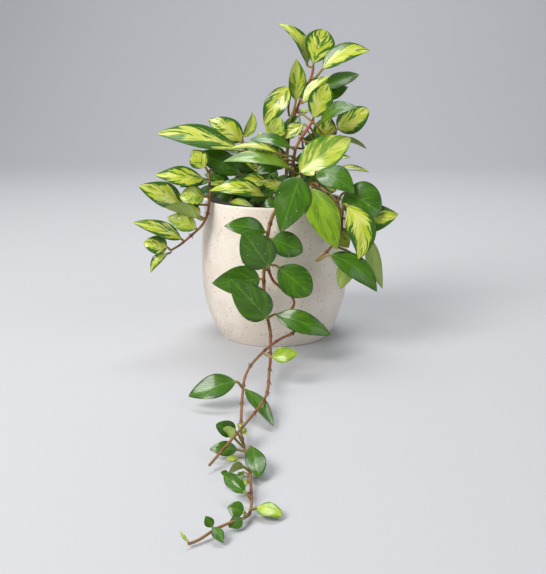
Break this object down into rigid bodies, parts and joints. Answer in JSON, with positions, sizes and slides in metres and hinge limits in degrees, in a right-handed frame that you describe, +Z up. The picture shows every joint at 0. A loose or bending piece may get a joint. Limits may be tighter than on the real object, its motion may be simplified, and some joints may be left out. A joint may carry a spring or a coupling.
{
  "type": "potted plant",
  "caption": "Variegated hoya in a rounded speckled stoneware pot, with upright and arching leafy stems and two vines that trail over the rim onto the surface in front.",
  "frame": {"origin": "centre of the pot's flat foot, on the surface it stands on", "axes": "+Z up; the two vines trail over the rim and out towards -Y, so the plant's front is -Y"},
  "size_m": [0.2512, 0.5008, 0.3105],
  "materials": {
    "stoneware": "matte warm off-white with fine brown specks",
    "potting_mix": "dark crumbly mix with bark",
    "stem": "satin reddish brown, greener on the older lengths",
    "leaf_green": "glossy deep green with a lighter midrib",
    "leaf_variegated": "glossy yellow and cream centre streaked with green, green margin",
    "leaf_pale": "pale yellow-green, satin"
  },
  "bodies": {
    "root": {"pot": "stoneware", "potting_mix": "potting_mix", "upright_stem": "stem", "upright_leaf_1": "leaf_variegated", "upright_leaf_2": "leaf_variegated", "upright_leaf_3": "leaf_variegated", "upright_leaf_4": "leaf_variegated", "upright_leaf_5": "leaf_green", "upright_leaf_6": "leaf_variegated", "upright_leaf_7": "leaf_variegated", "leaning_stem": "stem", "leaning_leaf_1": "leaf_variegated", "leaning_leaf_2": "leaf_green", "leaning_leaf_3": "leaf_variegated", "leaning_leaf_4": "leaf_variegated", "leaning_leaf_5": "leaf_pale", "leaning_leaf_6": "leaf_green", "leaning_leaf_7": "leaf_variegated", "leaning_leaf_8": "leaf_green", "crown_stem": "stem", "crown_leaf_1": "leaf_pale", "crown_leaf_2": "leaf_variegated", "crown_leaf_3": "leaf_variegated", "crown_leaf_4": "leaf_pale", "left_stem": "stem", "left_leaf_1": "leaf_green", "left_leaf_2": "leaf_variegated", "left_leaf_3": "leaf_variegated", "left_leaf_4": "leaf_variegated", "left_leaf_5": "leaf_pale", "left_leaf_6": "leaf_pale", "left_leaf_7": "leaf_variegated", "left_leaf_8": "leaf_variegated", "left_leaf_9": "leaf_variegated", "right_stem": "stem", "right_leaf_1": "leaf_green", "right_leaf_2": "leaf_green", "right_leaf_3": "leaf_green", "right_leaf_4": "leaf_variegated", "right_leaf_5": "leaf_variegated", "right_leaf_6": "leaf_green", "right_leaf_7": "leaf_pale", "right_leaf_8": "leaf_pale", "front_vine": "stem", "front_leaf_1": "leaf_variegated", "front_leaf_2": "leaf_green", "front_leaf_3": "leaf_green", "front_leaf_4": "leaf_green", "front_leaf_5": "leaf_green", "front_leaf_6": "leaf_green", "front_leaf_7": "leaf_green", "front_leaf_8": "leaf_green", "front_leaf_9": "leaf_green", "trailing_vine": "stem", "trailing_leaf_1": "leaf_pale", "trailing_leaf_2": "leaf_green", "trailing_leaf_3": "leaf_green", "trailing_leaf_4": "leaf_green", "trailing_leaf_5": "leaf_green", "trailing_leaf_6": "leaf_pale"}
  },
  "joints": []
}
